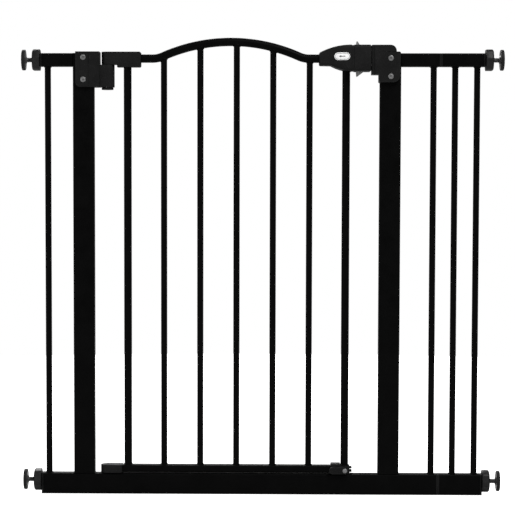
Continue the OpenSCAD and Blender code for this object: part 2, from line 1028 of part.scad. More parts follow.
module stop_mount() {
    color(PLASTIC_BLACK)
        difference() {
            union() {
                block_between(
                    [saddle_x[0], cheek_y, door_rail_top],
                    [saddle_x[1], -cheek_y, door_rail_top + saddle_t]
                );
                block_between(
                    [saddle_x[0], cheek_y, door_rail_z + 1],
                    [door_rail_x1 + end_cap_t, -door_rail_d / 2, door_rail_top]
                );
                block_between(
                    [door_rail_x1, -door_rail_d / 2, door_rail_z],
                    [door_rail_x1 + end_cap_t, door_rail_d / 2, door_rail_top]
                );
                for (z = fork_z)
                    block_between(
                        [door_rail_x1, -fork_half_d, z[0]],
                        [fork_x, fork_half_d, z[1]]
                    );
            }
            front_slab(cheek_y - CUT, 0)
                translate([stop_x, stop_z])
                    circle(d = rivet_d);
        }
}

module stop_rivet() {
    head_y = lever_y[0] - 0.2;
    head_t = 1.8;
    color(BARE_STEEL) {
        screw(stop_x, head_y, stop_z, -1, rivet_head_d, head_t, rivet_d, door_rail_d / 2 - head_y);
        front_slab(door_rail_d / 2, door_rail_d / 2 + 1)
            translate([stop_x, stop_z])
                circle(d = 6);
    }
}

module stop_lever() {
    color(PLASTIC_BLACK)
        front_slab(lever_y[0], lever_y[1])
            difference() {
                translate([stop_x, stop_z]) {
                    circle(stop_r);
                    translate([-stop_reach, 0])
                        circle(stop_r);
                    translate([-stop_reach, -stop_r])
                        square([stop_reach, 2 * stop_r]);
                }
                translate([stop_x, stop_z])
                    circle(d = rivet_d + 2 * RUN_FIT);
            }
}

// ---------- Wall mounts ----------

// Puts a mount's pieces, drawn along +X from the rail's middle, at a side and a height
module at_mount(side, z) {
    translate([0, 0, z])
        mirror([side < 0 ? 1 : 0, 0, 0])
            children();
}

// Threaded rod with the disc that presses the pad to the wall
module spindle(side, z) {
    disc_x = pad_face_x - pad_t;
    color(BARE_STEEL)
        at_mount(side, z)
            rotate([0, 90, 0]) {
                translate([0, 0, disc_x - rod_in])
                    cylinder(h = rod_in, d = rod_d);
                translate([0, 0, disc_x])
                    cylinder(h = disc_t, r = disc_r);
            }
}

// Rubber cup round the disc
module pad(side, z) {
    color(RUBBER_BLACK)
        at_mount(side, z)
            rotate([0, 90, 0])
                translate([0, 0, pad_face_x - pad_t])
                    difference() {
                        cylinder(h = pad_t, d = pad_d);
                        translate([0, 0, -CUT])
                            cylinder(h = disc_t + CUT, r = disc_r);
                    }
}

// Six-sided nut with its corners turned round
module hand_nut(side, z, turn) {
    color(PLASTIC_BLACK)
        at_mount(side, z)
            translate([nut_x, 0, 0])
                rotate([0, 90, 0])
                    difference() {
                        intersection() {
                            rotate([0, 0, turn])
                                cylinder(h = nut_t, d = nut_af / cos(30), $fn = 6);
                            cylinder(h = nut_t, r = nut_corner_r);
                        }
                        translate([0, 0, -CUT])
                            cylinder(h = nut_t + 2 * CUT, d = rod_d + 2 * RUN_FIT);
                    }
}

module spindle_tl() {
    spindle(-1, upper_mount_z);
}

module spindle_bl() {
    spindle(-1, lower_mount_z);
}

module spindle_tr() {
    spindle(1, upper_mount_z);
}

module spindle_br() {
    spindle(1, lower_mount_z);
}

module pad_tl() {
    pad(-1, upper_mount_z);
}

module pad_bl() {
    pad(-1, lower_mount_z);
}

module pad_tr() {
    pad(1, upper_mount_z);
}

module pad_br() {
    pad(1, lower_mount_z);
}

module hand_nut_tl() {
    hand_nut(-1, upper_mount_z, upper_turn);
}

module hand_nut_bl() {
    hand_nut(-1, lower_mount_z, lower_turn);
}

module hand_nut_tr() {
    hand_nut(1, upper_mount_z, upper_turn);
}

module hand_nut_br() {
    hand_nut(1, lower_mount_z, lower_turn);
}

bottom_rail();
left_post();
right_post();
left_top_rail();
right_top_rail();
left_outer_bar();
right_outer_bar();
frame_end_plugs();
extension_top_rail();
extension_bottom_rail();
extension_inner_bar();
extension_outer_bar();
extension_end_plugs();
extension_pins();
hinge_bracket_front();
hinge_bracket_rear();
upper_hinge_bush();
closing_spring();
lower_hinge_pin();
strike_front();
strike_rear();
housing_screws();
door_top_tube();
door_hinge_stile();
door_latch_stile();
door_bottom_rail();
door_bar_1();
door_bar_2();
door_bar_3();
door_bar_4();
door_bar_5();
hinge_arm_front();
hinge_arm_rear();
upper_hinge_pin();
pin_retainer();
lower_hinge_block();
lower_hinge_bush();
handle_front();
handle_rear();
door_shell_screws();
badge();
bolt_spring();
stop_mount();
stop_rivet();
release_button();
latch_bolt();
stop_lever();
spindle_tl();
spindle_bl();
spindle_tr();
spindle_br();
pad_tl();
pad_bl();
pad_tr();
pad_br();
hand_nut_tl();
hand_nut_bl();
hand_nut_tr();
hand_nut_br();
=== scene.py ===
import json
import math
import random

import bmesh
import bpy
from mathutils import Matrix, Vector


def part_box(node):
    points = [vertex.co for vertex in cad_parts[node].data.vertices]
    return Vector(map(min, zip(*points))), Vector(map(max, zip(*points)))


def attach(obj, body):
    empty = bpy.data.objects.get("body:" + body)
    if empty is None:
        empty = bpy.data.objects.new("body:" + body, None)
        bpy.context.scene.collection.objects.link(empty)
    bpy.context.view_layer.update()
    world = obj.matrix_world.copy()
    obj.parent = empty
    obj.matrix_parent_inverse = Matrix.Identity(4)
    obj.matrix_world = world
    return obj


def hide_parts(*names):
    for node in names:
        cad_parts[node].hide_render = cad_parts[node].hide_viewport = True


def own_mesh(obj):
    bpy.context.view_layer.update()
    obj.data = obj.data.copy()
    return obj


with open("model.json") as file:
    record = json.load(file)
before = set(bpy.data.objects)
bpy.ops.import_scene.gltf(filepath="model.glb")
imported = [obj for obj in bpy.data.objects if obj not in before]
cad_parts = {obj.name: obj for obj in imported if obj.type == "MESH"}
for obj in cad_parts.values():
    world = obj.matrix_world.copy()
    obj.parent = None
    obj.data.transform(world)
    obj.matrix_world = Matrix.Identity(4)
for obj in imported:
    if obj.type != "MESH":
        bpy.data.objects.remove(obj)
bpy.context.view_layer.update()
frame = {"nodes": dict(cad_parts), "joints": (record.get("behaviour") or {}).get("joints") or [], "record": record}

NODES = frame["nodes"]
BODY_OF = {n: body for body, names in frame["record"]["behaviour"]["bodies"].items() for n in names}
SLOT_OF = {s["node"]: s["material_slot"] for s in frame["record"]["subparts"]}
MM = 0.001
# How far a cutter runs past what it cuts, in millimetres
REACH = 10.0

# The view, in millimetres and degrees, fitted to the outlines in the photo
CAMERA_AT = (10.0, -3173.6, 525.5)
CAMERA_YAW = -1.016
CAMERA_PITCH = 3.62
CAMERA_ROLL = 0.099
LENS = 132.902
LENS_SHIFT = (0.04541, 0.08424)


# ---------- Camera, light and floor ----------

def set_view():
    """Whites stay white and blacks stay black, as in a catalogue picture."""
    view = bpy.context.scene.view_settings
    view.view_transform = "Standard"
    view.look = "None"


def add_camera():
    data = bpy.data.cameras.new("Camera")
    data.sensor_width = 36.0
    data.lens = LENS
    data.shift_x, data.shift_y = LENS_SHIFT
    data.clip_start = 0.05
    data.clip_end = 100.0
    camera = bpy.data.objects.new("Camera", data)
    bpy.context.scene.collection.objects.link(camera)
    yaw = Matrix.Rotation(math.radians(-CAMERA_YAW), 4, "Z")
    pitch = Matrix.Rotation(math.radians(90) - math.radians(CAMERA_PITCH), 4, "X")
    roll = Matrix.Rotation(math.radians(CAMERA_ROLL), 4, "Z")
    camera.matrix_world = Matrix.Translation(Vector(CAMERA_AT) * MM) @ yaw @ pitch @ roll
    bpy.context.scene.camera = camera


def add_area_light(name, at, size, watts):
    """A rectangular light aimed at the middle of the gate, in metres."""
    data = bpy.data.lights.new(name, "AREA")
    data.shape = "RECTANGLE"
    data.size, data.size_y = size
    data.energy = watts
    light = bpy.data.objects.new(name, data)
    bpy.context.scene.collection.objects.link(light)
    light.location = at
    light.rotation_euler = (Vector((0, 0, 0.4)) - Vector(at)).to_track_quat("-Z", "Y").to_euler()


def add_lights():
    add_area_light("key", (1.5, -2.0, 3.6), (1.3, 1.3), 120)
    add_area_light("fill", (-2.6, -2.4, 1.2), (2.0, 2.0), 28)
    add_area_light("back", (-0.8, 2.6, 2.2), (2.2, 1.4), 80)


def add_world():
    """Seen directly the world is white; as light it is a dim grey, so that black stays black."""
    world = bpy.data.worlds.new("Studio")
    bpy.context.scene.world = world
    world.use_nodes = True
    nodes, links = world.node_tree.nodes, world.node_tree.links
    nodes.clear()
    output = nodes.new("ShaderNodeOutputWorld")
    mix = nodes.new("ShaderNodeMixShader")
    path = nodes.new("ShaderNodeLightPath")
    ambient = nodes.new("ShaderNodeBackground")
    seen = nodes.new("ShaderNodeBackground")
    ambient.inputs["Color"].default_value = (1.0, 1.0, 1.0, 1.0)
    ambient.inputs["Strength"].default_value = 0.3
    seen.inputs["Color"].default_value = (1.0, 1.0, 1.0, 1.0)
    seen.inputs["Strength"].default_value = 1.0
    links.new(path.outputs["Is Camera Ray"], mix.inputs["Fac"])
    links.new(ambient.outputs["Background"], mix.inputs[1])
    links.new(seen.outputs["Background"], mix.inputs[2])
    links.new(mix.outputs["Shader"], output.inputs["Surface"])


def add_floor():
    """White to the eye, but as a reflector only a pale surface, so that undersides stay dark."""
    bm = bmesh.new()
    bmesh.ops.create_circle(bm, cap_ends=True, segments=96, radius=2600)
    floor = add_object("studio_floor", bm)
    floor.location = (0.0, 0.0, -0.0006)
    material = bpy.data.materials.new("studio_floor")
    material.use_nodes = True
    bsdf = material.node_tree.nodes["Principled BSDF"]
    bsdf.inputs["Base Color"].default_value = (0.75, 0.75, 0.75, 1.0)
    bsdf.inputs["Roughness"].default_value = 0.9
    bsdf.inputs["Specular IOR Level"].default_value = 0.1
    bsdf.inputs["Emission Color"].default_value = (1.0, 1.0, 1.0, 1.0)
    path = material.node_tree.nodes.new("ShaderNodeLightPath")
    material.node_tree.links.new(path.outputs["Is Camera Ray"], bsdf.inputs["Emission Strength"])
    floor.data.materials.append(material)


# ---------- Materials ----------

def shade(level):
    """Linear colour of an sRGB grey from 0 to 255."""
    c = level / 255
    linear = c / 12.92 if c <= 0.04045 else ((c + 0.055) / 1.055) ** 2.4
    return (linear, linear, linear, 1.0)


def noise(nodes, links, coords, size_mm, detail):
    node = nodes.new("ShaderNodeTexNoise")
    node.inputs["Scale"].default_value = 1 / (size_mm * MM)
    node.inputs["Detail"].default_value = detail
    node.inputs["Roughness"].default_value = 0.55
    links.new(coords.outputs["Object"], node.inputs["Vector"])
    return node.outputs["Fac"]


def ramp(nodes, links, value, before, after=(0.0, 1.0)):
    """Carries a value from the range before to the range after, held at its ends."""
    node = nodes.new("ShaderNodeMapRange")
    node.inputs["From Min"].default_value = before[0]
    node.inputs["From Max"].default_value = before[1]
    node.inputs["To Min"].default_value = after[0]
    node.inputs["To Max"].default_value = after[1]
    links.new(value, node.inputs["Value"])
    return node.outputs["Result"]


def blend(nodes, links, factor, light):
    """A colour mix towards light; the caller gives its first colour."""
    node = nodes.new("ShaderNodeMix")
    node.data_type = "RGBA"
    node.inputs["B"].default_value = shade(light)
    links.new(factor, node.inputs["Factor"])
    return node


def relief(nodes, links, height, depth_mm):
    node = nodes.new("ShaderNodeBump")
    node.inputs["Strength"].default_value = 1.0
    node.inputs["Distance"].default_value = depth_mm * MM
    links.new(height, node.inputs["Height"])
    return node


def surface(name, dark, light, rough, grain_mm, depth_mm, metallic=0.0, specular=0.5, patch_mm=25.0,
            fleck=None, fine_mm=None):
    """A moulded, coated or metal surface: patchy colour and gloss, with a grain in the bump.

    dark and light are sRGB greys from 0 to 255, rough is the range of roughness, and depth_mm is the
    grain's height. fleck adds sparse light specks: their spacing in millimetres, their strength and their
    grey. fine_mm adds a finer grain to the bump."""
    material = bpy.data.materials.new(name)
    material.use_nodes = True
    nodes, links = material.node_tree.nodes, material.node_tree.links
    bsdf = nodes["Principled BSDF"]
    bsdf.inputs["Metallic"].default_value = metallic
    bsdf.inputs["Specular IOR Level"].default_value = specular
    coords = nodes.new("ShaderNodeTexCoord")
    patches = noise(nodes, links, coords, patch_mm, 4.0)
    grain = noise(nodes, links, coords, grain_mm, 2.0)

    mottle = nodes.new("ShaderNodeMath")
    mottle.operation = "MULTIPLY_ADD"
    mottle.inputs[1].default_value = 0.35
    links.new(grain, mottle.inputs[0])
    links.new(patches, mottle.inputs[2])
    tone = blend(nodes, links, ramp(nodes, links, mottle.outputs["Value"], (0.45, 0.9)), light)
    tone.inputs["A"].default_value = shade(dark)
    colour = tone.outputs["Result"]

    if fleck is not None:
        spacing, strength, grey = fleck
        cells = nodes.new("ShaderNodeTexVoronoi")
        cells.inputs["Scale"].default_value = 1 / (spacing * MM)
        links.new(coords.outputs["Object"], cells.inputs["Vector"])
        spots = ramp(nodes, links, cells.outputs["Distance"], (0.1, 0.17), (strength, 0.0))
        speckled = blend(nodes, links, spots, grey)
        links.new(colour, speckled.inputs["A"])
        colour = speckled.outputs["Result"]
    links.new(colour, bsdf.inputs["Base Color"])
    links.new(ramp(nodes, links, patches, (0.35, 0.65), rough), bsdf.inputs["Roughness"])

    bump = relief(nodes, links, grain, depth_mm)
    if fine_mm is not None:
        fine = relief(nodes, links, noise(nodes, links, coords, fine_mm, 1.0), 0.4 * depth_mm)
        links.new(fine.outputs["Normal"], bump.inputs["Normal"])
    links.new(bump.outputs["Normal"], bsdf.inputs["Normal"])
    return material


LOOKS = {
    "powder_coat": dict(dark=5, light=8, rough=(0.4, 0.52), grain_mm=1.6, depth_mm=0.05,
                        specular=0.03, fleck=(0.9, 0.2, 18), fine_mm=0.5),
    "housing_plastic": dict(dark=20, light=27, rough=(0.48, 0.62), grain_mm=0.6, depth_mm=0.05,
                            specular=0.07, fleck=(3.4, 0.45, 54), fine_mm=0.25),
    "plug_plastic": dict(dark=16, light=24, rough=(0.5, 0.62), grain_mm=0.6, depth_mm=0.03, specular=0.07),
    "nut_plastic": dict(dark=17, light=26, rough=(0.42, 0.54), grain_mm=0.7, depth_mm=0.05,
                        specular=0.2, fleck=(2.6, 0.45, 62)),
    "fin_plastic": dict(dark=108, light=124, rough=(0.4, 0.5), grain_mm=0.6, depth_mm=0.03),
    "bush_nylon": dict(dark=200, light=214, rough=(0.4, 0.5), grain_mm=0.8, depth_mm=0.02),
    "badge_plate": dict(dark=243, light=250, rough=(0.28, 0.36), grain_mm=1.5, depth_mm=0.01),
    "badge_mark": dict(dark=70, light=86, rough=(0.4, 0.5), grain_mm=1.0, depth_mm=0.01),
    "screw_steel": dict(dark=104, light=130, rough=(0.34, 0.46), grain_mm=0.35, depth_mm=0.012,
                        metallic=0.55, patch_mm=3.0),
    "bare_steel": dict(dark=150, light=176, rough=(0.26, 0.4), grain_mm=0.4, depth_mm=0.01,
                       metallic=1.0, patch_mm=6.0),
    "spring_steel": dict(dark=120, light=150, rough=(0.3, 0.42), grain_mm=0.4, depth_mm=0.01,
                         metallic=1.0, patch_mm=4.0),
    "spindle_steel": dict(dark=72, light=96, rough=(0.36, 0.5), grain_mm=0.4, depth_mm=0.012,
                          metallic=0.5, patch_mm=5.0),
    "pad_rubber": dict(dark=20, light=28, rough=(0.55, 0.7), grain_mm=0.7, depth_mm=0.05, specular=0.16),
}
MATERIALS = {name: surface(name, **look) for name, look in LOOKS.items()}


# ---------- What the frame says, in millimetres ----------

def node_box(node):
    low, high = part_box(node)
    return low / MM, high / MM


def exact_box(node):
    """A node's box to a thousandth of a millimetre, free of the noise of single precision."""
    return [tuple(round(c, 3) for c in corner) for corner in node_box(node)]


def joint_travel(name):
    """How far a slide moves from rest."""
    joint = next(j for j in frame["joints"] if j["name"] == name)
    return max(abs(v) for v in joint["range_m"]) / MM


def islands(node):
    """Boxes of a node's separate solids."""
    bm = bmesh.new()
    bm.from_mesh(NODES[node].data)
    bmesh.ops.remove_doubles(bm, verts=bm.verts, dist=1e-6)
    left, boxes = set(bm.verts), []
    for seed in list(bm.verts):
        if seed not in left:
            continue
        left.discard(seed)
        stack, group = [seed], []
        while stack:
            v = stack.pop()
            group.append(v.co / MM)
            for e in v.link_edges:
                w = e.other_vert(v)
                if w in left:
                    left.discard(w)
                    stack.append(w)
        low = Vector([min(p[i] for p in group) for i in range(3)])
        high = Vector([max(p[i] for p in group) for i in range(3)])
        boxes.append((low, high))
    bm.free()
    return sorted(boxes, key=lambda b: (round(b[0].x), b[0].z))


# ---------- Mesh helpers, in millimetres ----------

def add_object(name, bm):
    """Puts a bmesh in millimetres into the scene as an object in metres."""
    bmesh.ops.scale(bm, vec=(MM, MM, MM), verts=bm.verts)
    mesh = bpy.data.meshes.new(name)
    bm.to_mesh(mesh)
    bm.free()
    obj = bpy.data.objects.new(name, mesh)
    bpy.context.scene.collection.objects.link(obj)
    return obj


def set_smooth(obj, angle=32.0):
    """Smooth shading, except across edges that turn by more than the angle in degrees."""
    for polygon in obj.data.polygons:
        polygon.use_smooth = True
    obj.data.set_sharp_from_angle(angle=math.radians(angle))


def finish_piece(name, bm, node=None, body=None, slot=None, look=None, angle=32.0):
    """Turns a bmesh into a piece that stands in for a node, or that is added to a body.

    An added piece names its body and slot; look is its material where that isn't the slot's own."""
    if node:
        body, slot = BODY_OF[node], SLOT_OF[node]
    bmesh.ops.remove_doubles(bm, verts=bm.verts, dist=1e-4)
    bmesh.ops.recalc_face_normals(bm, faces=bm.faces)
    obj = add_object(name, bm)
    set_smooth(obj, angle)
    obj.data.materials.append(MATERIALS[look or slot])
    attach(obj, body)
    if node:
        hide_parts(node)
    return obj


def loft(bm, rings, loop=False):
    """Skins a list of rings that have the same number of points, with closed ends or joined end to end."""
    made = [[bm.verts.new(p) for p in ring] for ring in rings]
    count = len(made[0])
    pairs = list(zip(made, made[1:]))
    if loop:
        pairs.append((made[-1], made[0]))
    for a, b in pairs:
        for k in range(count):
            m = (k + 1) % count
            bm.faces.new((a[k], a[m], b[m], b[k]))
    if not loop:
        bm.faces.new(made[0][::-1])
        bm.faces.new(made[-1])


def circle_ring(centre, across, up, radius, sides):
    centre, across, up = Vector(centre), Vector(across), Vector(up)
    return [
        centre + radius * (math.cos(a) * across + math.sin(a) * up)
        for a in (math.tau * k / sides for k in range(sides))
    ]


def turned(bm, origin, axis, profile, sides):
    """A turned solid: profile is a list of (distance along the axis, radius) from one end to the other."""
    axis = Vector(axis).normalized()
    across = axis.orthogonal().normalized()
    up = axis.cross(across)
    rings = [circle_ring(Vector(origin) + axis * d, across, up, max(r, 0.01), sides) for d, r in profile]
    loft(bm, rings)


def rounded_loop(w, h, r, steps):
    """Outline of a rounded rectangle round (0, 0)."""
    points = []
    for cx, cy, start in ((1, 1, 0), (-1, 1, 90), (-1, -1, 180), (1, -1, 270)):
        for i in range(steps + 1):
            a = math.radians(start + 90 * i / steps)
            points.append((cx * (w / 2 - r) + r * math.cos(a), cy * (h / 2 - r) + r * math.sin(a)))
    return points


def dome(height, radius, angles):
    """Profile of a domed end from its top outwards, at the given angles in degrees."""
    turns = [math.radians(a) for a in angles]
    return [(height * (1 - math.cos(a)), radius * math.sin(a)) for a in turns]


def block(low, high):
    """A cutter with flat sides."""
    bm = bmesh.new()
    low, high = Vector(low), Vector(high)
    for v in bmesh.ops.create_cube(bm, size=1.0)["verts"]:
        v.co = Vector((low[i] + (v.co[i] + 0.5) * (high[i] - low[i]) for i in range(3)))
    return bm


def rod(origin, axis, radius, length):
    """A round cutter."""
    bm = bmesh.new()
    turned(bm, origin, axis, [(0.0, radius), (length, radius)], 40)
    return bm


def cut(obj, cutter_bm):
    """Cuts the solid in cutter_bm out of obj."""
    bmesh.ops.recalc_face_normals(cutter_bm, faces=cutter_bm.faces)
    cutter = add_object("cutter", cutter_bm)
    modifier = obj.modifiers.new("cut", "BOOLEAN")
    modifier.operation = "DIFFERENCE"
    modifier.solver = "EXACT"
    modifier.object = cutter
    bpy.context.view_layer.update()
    result = bpy.data.meshes.new_from_object(obj.evaluated_get(bpy.context.evaluated_depsgraph_get()))
    obj.modifiers.clear()
    obj.data = result
    bpy.data.objects.remove(cutter)


# ---------- Tubes and bars ----------

TUBE_CORNER = 3.0
TUBE_WALL = 1.5
TUBE_R = exact_box("door_top_tube")[1][1]
STRAIGHT_Z = exact_box("door_top_tube")[0][2] + TUBE_R
ARCH_X = -52.4
ARCH_HALF = 130.0
ARCH_BEND_R = 42.0
BEND_STEPS = 12
CROWN_STEPS = 48
BAR_SIDES = 32
BAR_OVERLAP = 0.4
WELD_R = 1.3
ARCH_WELD_R = 1.1
WELD_LIFT = 0.2
WELD_STEPS = 56
WELD_RIPPLES = 14


def rail_piece(node):
    """A rectangular tube along X or Z with rounded corners."""
    low, high = node_box(node)
    size = high - low
    axis = 0 if size.x > size.z else 2
    mid = (low + high) / 2
    other = 2 if axis == 0 else 0
    outer = rounded_loop(size[1], size[other], TUBE_CORNER, 6)
    inner = rounded_loop(size[1] - 2 * TUBE_WALL, size[other] - 2 * TUBE_WALL, TUBE_CORNER - TUBE_WALL, 6)
    bm = bmesh.new()
    rings = []
    for at, outline in ((low[axis], outer), (high[axis], outer), (high[axis], inner), (low[axis], inner)):
        ring = []
        for u, v in outline:
            p = [0.0, 0.0, 0.0]
            p[axis], p[1], p[other] = at, mid[1] + u, mid[other] + v
            ring.append(Vector(p))
        rings.append(ring)
    loft(bm, rings, loop=True)
    finish_piece(f"{node}_coated", bm, node)


def top_tube_line():
    """Stations (x, z, slope) along the door's top tube: a crown arc between two reverse bends."""
    low, high = node_box("door_top_tube")
    rise = high.z - TUBE_R - STRAIGHT_Z
    angle = 2 * math.atan(rise / ARCH_HALF)
    crown = ARCH_HALF / math.sin(angle) - ARCH_BEND_R
    crown_z = high.z - TUBE_R - crown
    bends = [angle * i / BEND_STEPS for i in range(BEND_STEPS + 1)]
    line = [(low.x, STRAIGHT_Z, 0.0)]
    for a in bends:
        z = STRAIGHT_Z + ARCH_BEND_R * (1 - math.cos(a))
        line.append((ARCH_X - ARCH_HALF + ARCH_BEND_R * math.sin(a), z, a))
    for i in range(1, CROWN_STEPS):
        a = angle * (1 - 2 * i / CROWN_STEPS)
        line.append((ARCH_X - crown * math.sin(a), crown_z + crown * math.cos(a), a))
    for a in reversed(bends):
        z = STRAIGHT_Z + ARCH_BEND_R * (1 - math.cos(a))
        line.append((ARCH_X + ARCH_HALF - ARCH_BEND_R * math.sin(a), z, -a))
    line.append((high.x, STRAIGHT_Z, 0.0))
    return line


TUBE_LINE = top_tube_line()


def tube_at(x):
    """Centreline height and slope of the top tube over x."""
    for (x0, z0, a0), (x1, z1, a1) in zip(TUBE_LINE, TUBE_LINE[1:]):
        if x0 <= x <= x1:
            t = (x - x0) / (x1 - x0)
            return z0 + t * (z1 - z0), a0 + t * (a1 - a0)
    return STRAIGHT_Z, 0.0


def top_tube_piece():
    bm = bmesh.new()
    rings = []
    for x, z, a in TUBE_LINE:
        up = Vector((-math.sin(a), 0.0, math.cos(a)))
        rings.append(circle_ring((x, 0.0, z), (0.0, 1.0, 0.0), up, TUBE_R, 40))
    loft(bm, rings)
    finish_piece("door_top_tube_coated", bm, "door_top_tube")


def bar_piece(node, under_tube):
    """A round bar; under_tube ends it on the round of the door's top tube."""
    low, high = node_box(node)
    mid = (low + high) / 2
    radius = (high.x - low.x) / 2
    bottom, top = [], []
    for k in range(BAR_SIDES):
        a = math.tau * k / BAR_SIDES
        x, y = mid.x + radius * math.cos(a), radius * math.sin(a)
        z = high.z
        if under_tube:
            centre, slope = tube_at(x)
            z = centre - (math.sqrt(TUBE_R ** 2 - y * y) - BAR_OVERLAP) / math.cos(slope)
        bottom.append(Vector((x, y, low.z)))
        top.append(Vector((x, y, z)))
    bm = bmesh.new()
    loft(bm, [bottom, top])
    finish_piece(f"{node}_coated", bm, node)


def weld_bead(bm, centre_line, outward, size, seed):
    """A lumpy bead along a closed line; outward gives the direction away from the bar at each point."""
    rng = random.Random(seed)
    phase = rng.uniform(0, math.tau)
    count = len(centre_line)
    rings = []
    for k, (p, out) in enumerate(zip(centre_line, outward)):
        wave = math.sin(WELD_RIPPLES * math.tau * k / count + phase)
        ripple = 1 + 0.13 * wave + 0.05 * rng.uniform(-1, 1)
        rings.append(circle_ring(p, out, (0.0, 0.0, 1.0), size * ripple, 8))
    loft(bm, rings, loop=True)


def bar_welds(name, bars, body, bottom_z, top_z=None, arch=False):
    """Beads round the ends of bars: on the rail below, and on the rail or the arched tube above."""
    bm = bmesh.new()
    turns = [math.tau * k / WELD_STEPS for k in range(WELD_STEPS)]
    outs = [Vector((math.cos(a), math.sin(a), 0)) for a in turns]
    for i, node in enumerate(bars):
        low, high = node_box(node)
        mid = (low + high) / 2
        radius = (high.x - low.x) / 2
        line = [Vector((mid.x, 0, bottom_z + WELD_LIFT)) + radius * o for o in outs]
        weld_bead(bm, line, outs, WELD_R, seed=2 * i)
        if top_z is not None:
            line = [Vector((mid.x, 0, top_z - WELD_LIFT)) + radius * o for o in outs]
            weld_bead(bm, line, outs, WELD_R, seed=2 * i + 1)
        if arch:
            line = [Vector((mid.x, 0, 0)) + radius * o for o in outs]
            for p in line:
                centre, slope = tube_at(p.x)
                p.z = centre - math.sqrt(TUBE_R ** 2 - p.y ** 2) / math.cos(slope)
            weld_bead(bm, line, outs, ARCH_WELD_R, seed=2 * i + 1)
    finish_piece(name, bm, body=body, slot="powder_coat")


# ---------- Moulded housings ----------

BRACKET_GROOVE_X = (-288.9, -286.5)
BRACKET_GROOVE_DEPTH = 0.7
STRIKE_LIP_X = 185.6
STRIKE_SEAM_X = 206.5
STRIKE_SEAM_Z = (738.0, 738.6)
STRIKE_GROOVE_DEPTH = 0.6


def soft_piece(node, edge_mm, segments=3):
    """A CAD node's shape with its sharp edges rounded."""
    bm = bmesh.new()
    bm.from_mesh(NODES[node].data)
    bmesh.ops.scale(bm, vec=(1 / MM, 1 / MM, 1 / MM), verts=bm.verts)
    bmesh.ops.remove_doubles(bm, verts=bm.verts, dist=1e-3)
    bmesh.ops.dissolve_limit(bm, angle_limit=math.radians(0.4), verts=bm.verts, edges=bm.edges)
    edges = [
        e for e in bm.edges
        if len(e.link_faces) == 2 and e.calc_face_angle(0.0) > math.radians(30.0)
    ]
    bmesh.ops.bevel(bm, geom=edges, offset=edge_mm, offset_type="OFFSET", segments=segments, profile=0.5,
                    affect="EDGES", clamp_overlap=True)
    return finish_piece(f"{node}_moulded", bm, node)


def groove(obj, node, depth, x=(-math.inf, math.inf), z=(-math.inf, math.inf)):
    """Sinks the outer face of a front or rear shell by depth, over a span of x and z."""
    low, high = exact_box(node)
    face = max(low[1], high[1], key=abs)
    cut(obj, block(
        (max(x[0], low[0] - REACH), face - depth, max(z[0], low[2] - REACH)),
        (min(x[1], high[0] + REACH), face + depth, min(z[1], high[2] + REACH)),
    ))


def bracket_and_strike_pieces():
    """The post housings: a groove down the hinge bracket, a lip and a seam on the strike."""
    for half in ("front", "rear"):
        node = f"hinge_bracket_{half}"
        bracket = soft_piece(node, 1.2)
        groove(bracket, node, BRACKET_GROOVE_DEPTH, x=BRACKET_GROOVE_X)
        set_smooth(bracket)
        node = f"strike_{half}"
        strike = soft_piece(node, 1.4)
        groove(strike, node, STRIKE_GROOVE_DEPTH, x=(-math.inf, STRIKE_LIP_X))
        groove(strike, node, STRIKE_GROOVE_DEPTH, x=(STRIKE_SEAM_X, math.inf), z=STRIKE_SEAM_Z)
        set_smooth(strike)


# ---------- Handle ----------

HANDLE_X, HANDLE_Y, HANDLE_Z = zip(*exact_box("handle_front"))
HANDLE_HALF = -HANDLE_Y[0]
HANDLE_WALL = 2.4
# Sections stand this far apart, and keep these distances from the rounded ends and the band
HANDLE_STEP = 1.5
END_CLEAR = 0.7
BAND_CLEAR = 0.6
# The underside rises no higher than this at the left end
NECK_Z = 715.3
# Each flare: the x from which the handle narrows to the left, and the radius it follows
FLARE_TOP = (146.0, 112.4)
FLARE_LOW = (150.0, 79.5)
FLARE_PLAN = (146.0, 148.7)
BAND_X = (147.7, 151.7)
BAND_DEPTH = 0.8
SEAM = 0.12
TUBE_FIT = 0.05
SLIDE_FIT = 0.5
# The two tongues of the bolt leave this gap between them
TONGUE_GAP_Z = (725.8, 732.4)
SCREW_SINK_R = 3.3
SCREW_SINK_DEPTH = 1.3
RELEASE_TRAVEL = joint_travel("release_slide")


def handle_half(x):
    """Half depth of the handle over x."""
    if x >= FLARE_PLAN[0]:
        return HANDLE_HALF
    return HANDLE_HALF - FLARE_PLAN[1] + math.sqrt(FLARE_PLAN[1] ** 2 - (x - FLARE_PLAN[0]) ** 2)


def handle_levels(x):
    """Bottom and top of the handle over x."""
    low, top = HANDLE_Z
    if x < FLARE_TOP[0]:
        top += math.sqrt(FLARE_TOP[1] ** 2 - (x - FLARE_TOP[0]) ** 2) - FLARE_TOP[1]
    if x < FLARE_LOW[0]:
        low += FLARE_LOW[1] - math.sqrt(FLARE_LOW[1] ** 2 - (x - FLARE_LOW[0]) ** 2)
    return min(low, NECK_Z), top


def handle_ring(x, inset, corner):
    low, top = handle_levels(x)
    half = handle_half(x) - inset
    height = top - low - 2 * inset
    mid = (top + low) / 2
    return [Vector((x, u, mid + v)) for u, v in rounded_loop(2 * half, height, corner, 8)]


